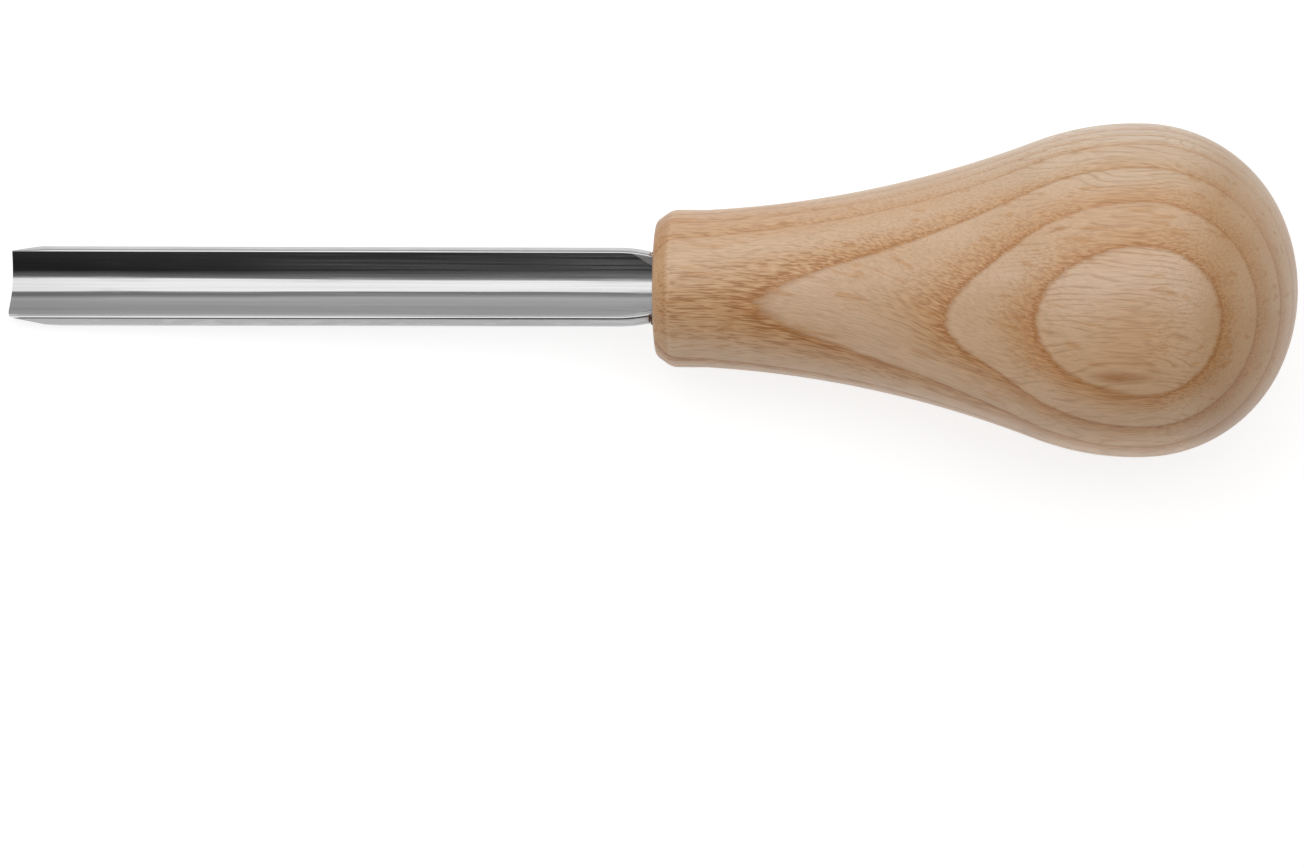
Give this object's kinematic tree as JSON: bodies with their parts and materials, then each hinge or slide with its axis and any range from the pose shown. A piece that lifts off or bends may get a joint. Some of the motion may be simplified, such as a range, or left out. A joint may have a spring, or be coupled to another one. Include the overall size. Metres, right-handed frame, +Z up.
{
  "type": "palm gouge",
  "caption": "Short wood carving gouge with a shallow fluted steel blade, pushed by a turned wooden bulb that sits in the palm.",
  "frame": {"origin": "on the bench, under the middle of the box round the tool as it lies on the heel of its bevel and on its bulb, flute up", "axes": "+X from the cutting edge towards the crown of the handle, +Z up out of the flute, +Y across the blade; the tool's own axis leans down towards the cutting edge by 8.2 degrees in the XZ plane"},
  "size_m": [0.159, 0.0414, 0.0417],
  "materials": {
    "ash_wood": "sanded ash with a thin satin oil finish",
    "polished_steel": "polished, with fine grinding lines along the blade",
    "brown_glue": "cured glue, smooth and dark"
  },
  "bodies": {
    "root": {"handle": "ash_wood", "blade": "polished_steel", "tang_glue": "brown_glue"}
  },
  "joints": []
}
